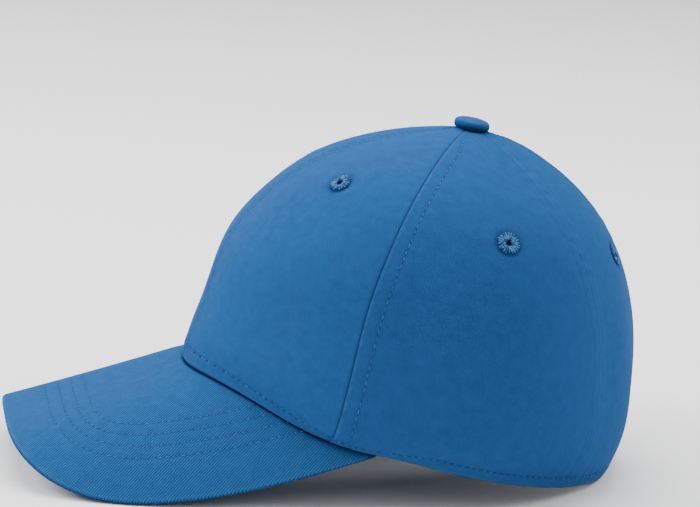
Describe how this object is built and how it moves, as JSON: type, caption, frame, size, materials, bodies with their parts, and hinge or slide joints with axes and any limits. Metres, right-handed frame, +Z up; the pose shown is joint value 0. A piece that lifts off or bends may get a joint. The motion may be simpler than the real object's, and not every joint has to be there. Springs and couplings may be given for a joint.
{
  "type": "ponytail baseball cap",
  "caption": "Soft cotton baseball cap with a curved peak, panelled crown, covered button, stitched eyelets and a long lens-shaped ponytail slit down the back.",
  "frame": {"origin": "on the floor under the middle of the resting cap's box", "axes": "+Z up, the peak points to -Y, the wearer's left is +X, and X is mirrored about the middle seam"},
  "size_m": [0.1778, 0.2744, 0.1515],
  "materials": {
    "panel_twill": "matte cotton twill, bright blue",
    "peak_twill": "matte cotton twill, bright blue, topstitched in rows",
    "peak_under_twill": "matte cotton twill, bright blue",
    "band_cloth": "plain woven cotton band, blue",
    "button_twill": "twill stretched over a button",
    "eyelet_thread": "dense satin stitch thread"
  },
  "bodies": {
    "root": {"panel_front_left": "panel_twill", "panel_front_right": "panel_twill", "panel_side_left": "panel_twill", "panel_side_right": "panel_twill", "panel_back_left": "panel_twill", "panel_back_right": "panel_twill", "eyelet_front_left": "eyelet_thread", "eyelet_front_right": "eyelet_thread", "eyelet_side_left": "eyelet_thread", "eyelet_side_right": "eyelet_thread", "eyelet_back_left": "eyelet_thread", "eyelet_back_right": "eyelet_thread", "button": "button_twill", "peak_top_cover": "peak_twill", "peak_under_cover": "peak_under_twill", "sweatband": "band_cloth"}
  },
  "joints": []
}
